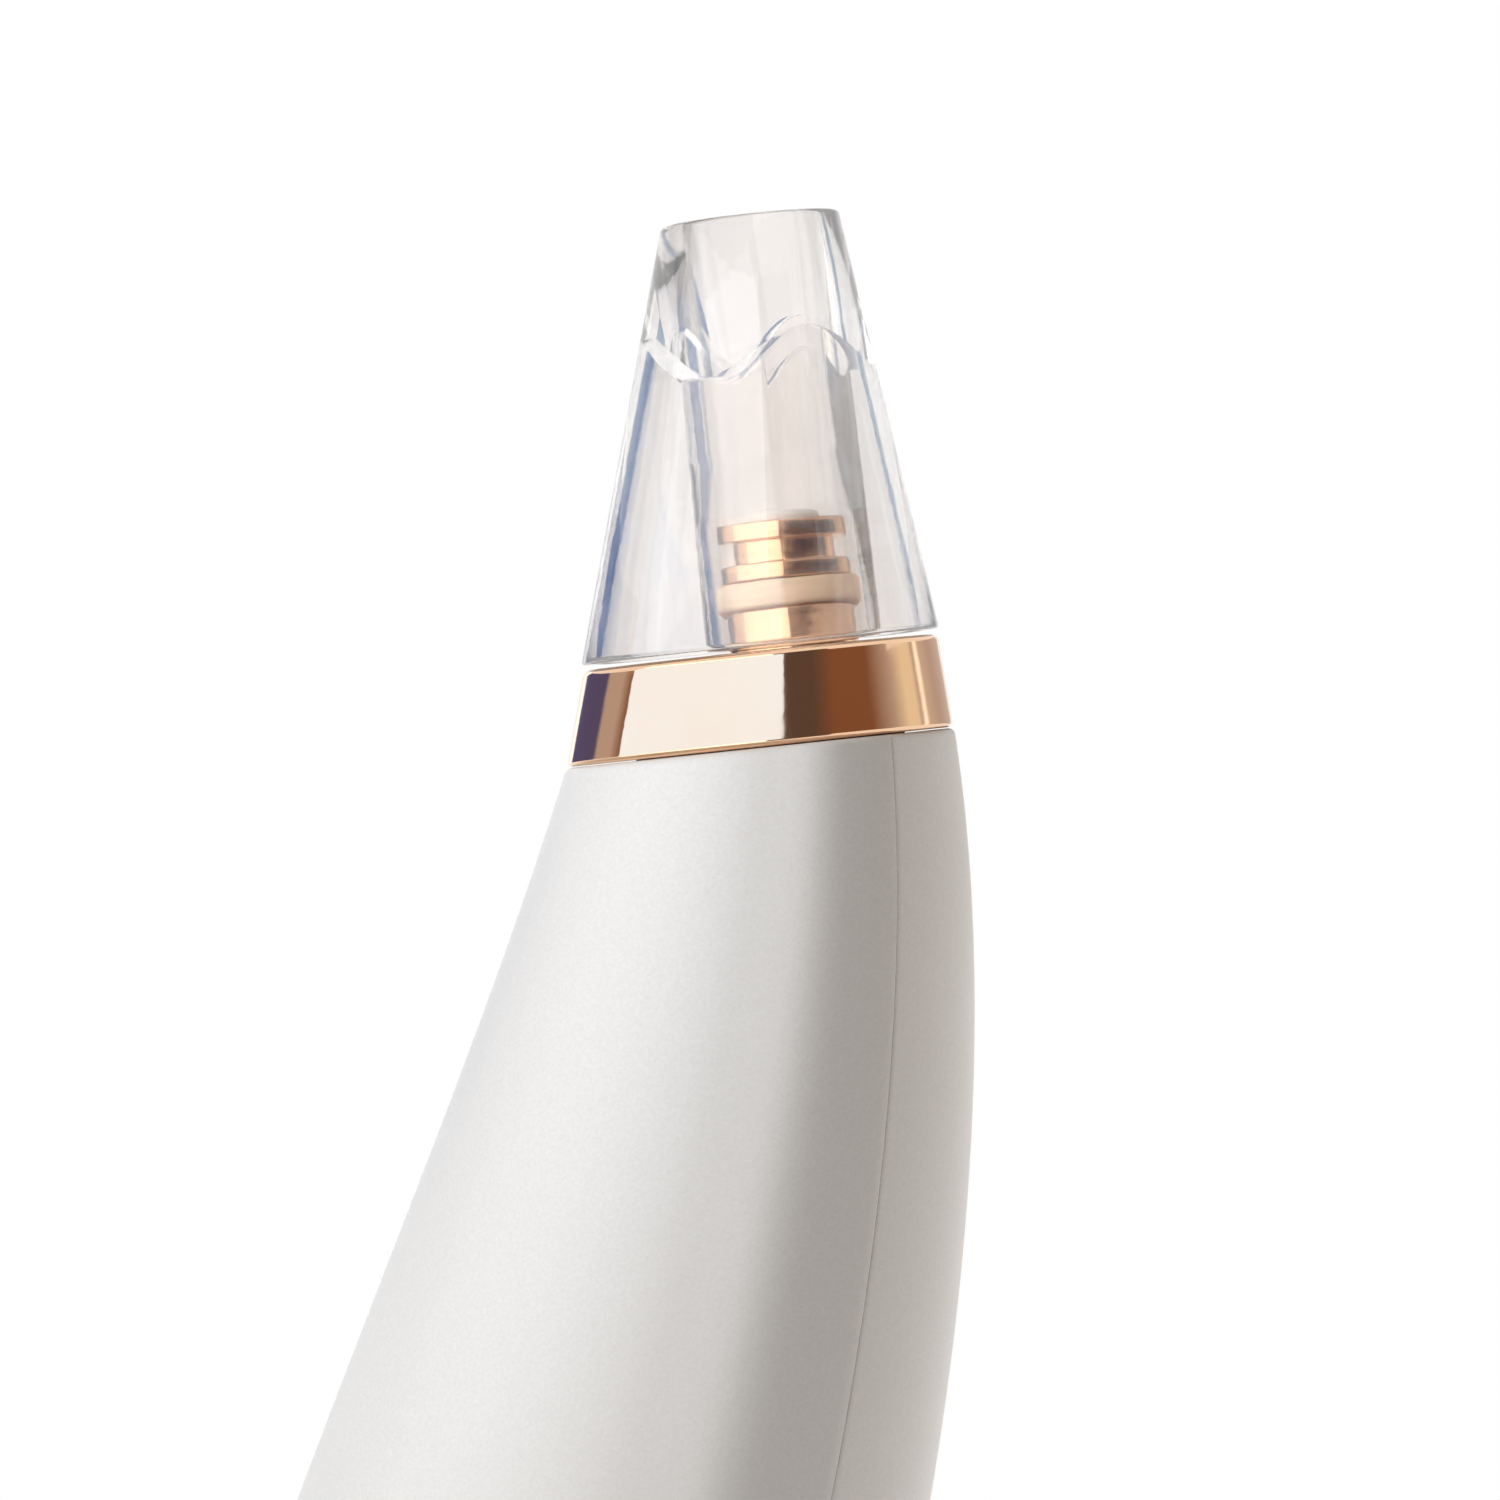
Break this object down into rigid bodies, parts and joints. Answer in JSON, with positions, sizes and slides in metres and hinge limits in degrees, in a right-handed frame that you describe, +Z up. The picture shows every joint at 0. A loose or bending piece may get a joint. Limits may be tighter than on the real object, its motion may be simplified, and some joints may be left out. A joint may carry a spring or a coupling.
{
  "type": "pore vacuum",
  "caption": "Hand-held pore vacuum: curved two-shell body that stands on its foot, plated collar, stepped nozzle and clear push-on suction probe, with a diaphragm pump inside.",
  "frame": {"origin": "centre of the foot pad's underside", "axes": "+Z up the body, +X towards the button side, +Y across the width"},
  "size_m": [0.0466, 0.039, 0.1689],
  "materials": {
    "white_plastic": "satin",
    "rose_gold": "plated mirror",
    "clear_plastic": "clear",
    "peach_silicone": "matt",
    "white_foam": "open foam",
    "grey_rubber": "matt",
    "black_rubber": "matt",
    "frosted_plastic": "frosted",
    "grey_plastic": "moulded",
    "black_plastic": "moulded",
    "steel": "bright",
    "board_green": "lacquered",
    "cell_blue": "film sleeve",
    "led_white": "clear",
    "clear_silicone": "translucent",
    "red_lead": "smooth",
    "dark_lead": "smooth"
  },
  "bodies": {
    "housing": {"rear_shell": "white_plastic", "front_cover": "white_plastic", "base_cap": "white_plastic", "foot_pad": "grey_rubber", "collar_ring": "rose_gold", "neck_plate": "grey_plastic", "nozzle": "rose_gold", "nozzle_seal": "peach_silicone", "button_bezel": "rose_gold", "indicator_lens": "frosted_plastic", "chassis": "grey_plastic", "main_board": "board_green", "tact_switch": "black_plastic", "indicator_led_1": "led_white", "indicator_led_2": "led_white", "indicator_led_3": "led_white", "charge_port": "steel", "battery_cell": "cell_blue", "battery_pad": "white_foam", "motor_can": "steel", "motor_end_cap": "black_plastic", "motor_damper": "black_rubber", "pump_housing": "grey_plastic", "pump_diaphragm": "black_rubber", "valve_seat": "grey_plastic", "valve_sheet": "black_rubber", "pump_cover": "grey_plastic", "suction_hose": "clear_silicone", "motor_lead_1": "dark_lead", "motor_lead_2": "red_lead", "battery_lead_1": "dark_lead", "battery_lead_2": "red_lead", "chassis_screw_1": "steel", "chassis_screw_2": "steel", "chassis_screw_3": "steel", "chassis_screw_4": "steel", "board_screw_1": "steel", "board_screw_2": "steel", "base_screw_1": "steel", "base_screw_2": "steel", "nozzle_screw_1": "steel", "nozzle_screw_2": "steel", "pump_screw_1": "steel", "pump_screw_2": "steel", "pump_screw_3": "steel", "pump_screw_4": "steel"},
    "probe": {"suction_probe": "clear_plastic"},
    "filter": {"filter_sponge": "white_foam"},
    "button": {"power_button": "white_plastic"},
    "plunger": {"switch_plunger": "black_plastic"},
    "rotor": {"motor_rotor": "steel", "crank_cam": "steel"},
    "rod": {"connecting_rod": "grey_plastic"}
  },
  "joints": [
    {"name": "probe_pull", "type": "slide", "parent": "housing", "child": "probe", "axis": [-0.3907, 0, 0.9205], "range_m": [0, 0.014]},
    {"name": "filter_pull", "type": "slide", "parent": "housing", "child": "filter", "axis": [-0.3907, 0, 0.9205], "range_m": [0, 0.006]},
    {"name": "button_press", "type": "slide", "parent": "housing", "child": "button", "axis": [-1, 0, 0], "range_m": [0, 0.0005], "stiffness_N_per_m": 1500},
    {"name": "plunger_press", "type": "slide", "parent": "housing", "child": "plunger", "axis": [-1, 0, 0], "range_m": [0, 0.0005]},
    {"name": "rotor_spin", "type": "hinge", "parent": "housing", "child": "rotor", "pos_m": [-0.0065, 0, 0.08], "axis": [0, 0, 1], "continuous": true},
    {"name": "rod_stroke", "type": "slide", "parent": "housing", "child": "rod", "axis": [1, 0, 0], "range_m": [-0.0007, 0.0007], "stiffness_N_per_m": 500, "deforming": ["pump_diaphragm"]}
  ],
  "couplings": [
    {"joint": "plunger_press", "follows": "button_press", "ratio": 1}
  ]
}
